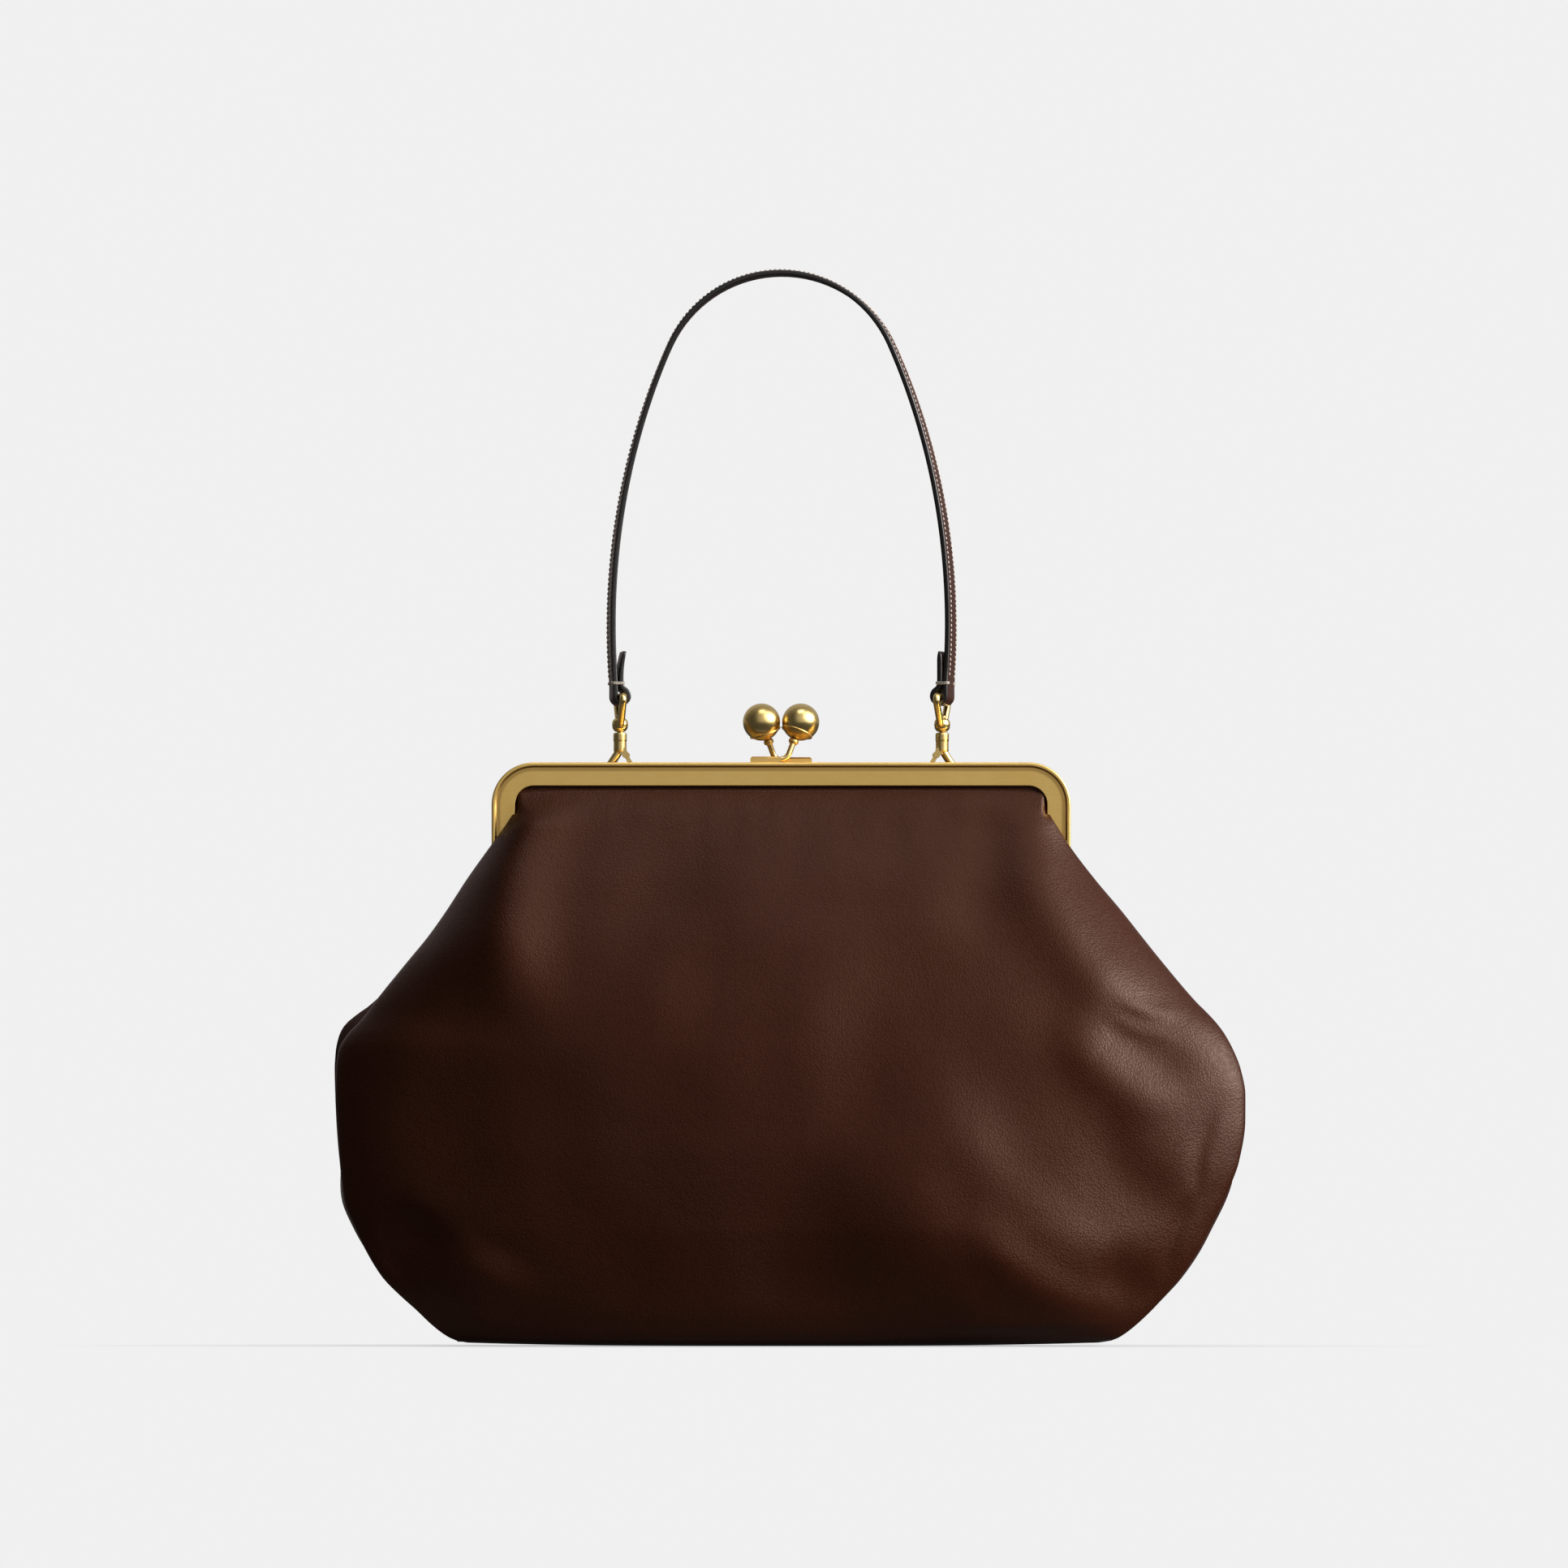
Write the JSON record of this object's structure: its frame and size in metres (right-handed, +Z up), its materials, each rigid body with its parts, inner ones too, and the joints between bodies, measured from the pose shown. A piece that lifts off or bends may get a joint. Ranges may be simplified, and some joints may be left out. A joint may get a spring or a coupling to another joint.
{
  "type": "kiss lock frame purse",
  "caption": "Soft leather handbag hung in a hinged brass frame that shuts with a kiss lock, with a folded leather strap on swivel snap hooks.",
  "frame": {"origin": "on the table under the middle of the base", "axes": "+X along the frame to the right as seen from the front, -Y out of the front, +Z up"},
  "size_m": [0.3462, 0.116, 0.41],
  "materials": {
    "body_leather": "dark brown pebbled hide with a soft sheen",
    "strap_leather": "dark brown hide with black painted edges",
    "lining_cloth": "plain twill",
    "board": "grey fibre board",
    "paper_cord": "twisted kraft paper",
    "antique_brass": "antique gold plate, satin on the frame and polished on the balls",
    "spring_steel": "plain"
  },
  "bodies": {
    "bag": {"front_panel": "body_leather", "rear_panel": "body_leather", "left_gusset": "body_leather", "right_gusset": "body_leather", "base_panel": "body_leather", "base_board": "board", "lining_bag": "lining_cloth"},
    "front_frame": {"front_frame_channel": "antique_brass", "front_panel_top": "body_leather", "front_lining_top": "lining_cloth", "front_channel_cord": "paper_cord", "front_clasp_bar": "antique_brass"},
    "front_knob": {"front_knob_stalk": "antique_brass", "front_knob_collar": "antique_brass", "front_knob_ball": "antique_brass", "front_knob_cup": "antique_brass"},
    "rear_frame": {"rear_frame_channel": "antique_brass", "rear_panel_top": "body_leather", "rear_lining_top": "lining_cloth", "rear_channel_cord": "paper_cord", "rear_clasp_bar": "antique_brass", "left_hinge_rivet": "antique_brass", "left_strap_loop": "antique_brass", "right_hinge_rivet": "antique_brass", "right_strap_loop": "antique_brass"},
    "rear_knob": {"rear_knob_stalk": "antique_brass", "rear_knob_collar": "antique_brass", "rear_knob_ball": "antique_brass", "rear_knob_cup": "antique_brass"},
    "handle": {"strap": "strap_leather", "left_swivel_eye": "antique_brass", "right_swivel_eye": "antique_brass"},
    "left_hook": {"left_hook_body": "antique_brass", "left_swivel_post": "antique_brass", "left_gate_pin": "antique_brass", "left_gate_spring": "spring_steel"},
    "left_gate": {"left_hook_gate": "antique_brass"},
    "right_hook": {"right_hook_body": "antique_brass", "right_swivel_post": "antique_brass", "right_gate_pin": "antique_brass", "right_gate_spring": "spring_steel"},
    "right_gate": {"right_hook_gate": "antique_brass"}
  },
  "joints": [
    {"name": "front_frame_swing", "type": "hinge", "parent": "bag", "child": "front_frame", "pos_m": [0, 0, 0.177], "axis": [1, 0, 0], "range_deg": [0, 35], "deforming": ["front_panel_top", "front_lining_top"]},
    {"name": "rear_frame_swing", "type": "hinge", "parent": "bag", "child": "rear_frame", "pos_m": [0, 0, 0.177], "axis": [-1, 0, 0], "range_deg": [0, 35], "deforming": ["rear_panel_top", "rear_lining_top"]},
    {"name": "front_knob_flex", "type": "hinge", "parent": "front_frame", "child": "front_knob", "pos_m": [0, -0.00315, 0.22285], "axis": [0, 1, 0], "range_deg": [0, 6], "stiffness_Nm_per_rad": 0.2},
    {"name": "rear_knob_flex", "type": "hinge", "parent": "rear_frame", "child": "rear_knob", "pos_m": [0, 0.00315, 0.22285], "axis": [0, -1, 0], "range_deg": [0, 6], "stiffness_Nm_per_rad": 0.2},
    {"name": "handle_swing", "type": "hinge", "parent": "rear_frame", "child": "handle", "pos_m": [0, 0.01035, 0.2122], "axis": [-1, 0, 0], "range_deg": [-4, 110]},
    {"name": "left_hook_swivel", "type": "hinge", "parent": "handle", "child": "left_hook", "pos_m": [-0.0614, 0.01035, 0.23], "axis": [0, 0, 1], "range_deg": [-15, 15]},
    {"name": "left_gate_press", "type": "hinge", "parent": "left_hook", "child": "left_gate", "pos_m": [-0.0594, 0.01035, 0.2252], "axis": [0, 1, 0], "range_deg": [0, 25], "stiffness_Nm_per_rad": 0.002},
    {"name": "right_hook_swivel", "type": "hinge", "parent": "handle", "child": "right_hook", "pos_m": [0.0614, 0.01035, 0.23], "axis": [0, 0, 1], "range_deg": [-15, 15]},
    {"name": "right_gate_press", "type": "hinge", "parent": "right_hook", "child": "right_gate", "pos_m": [0.0594, 0.01035, 0.2252], "axis": [0, -1, 0], "range_deg": [0, 25], "stiffness_Nm_per_rad": 0.002}
  ],
  "couplings": [
    {"joint": "rear_frame_swing", "follows": "front_frame_swing", "ratio": 1}
  ]
}
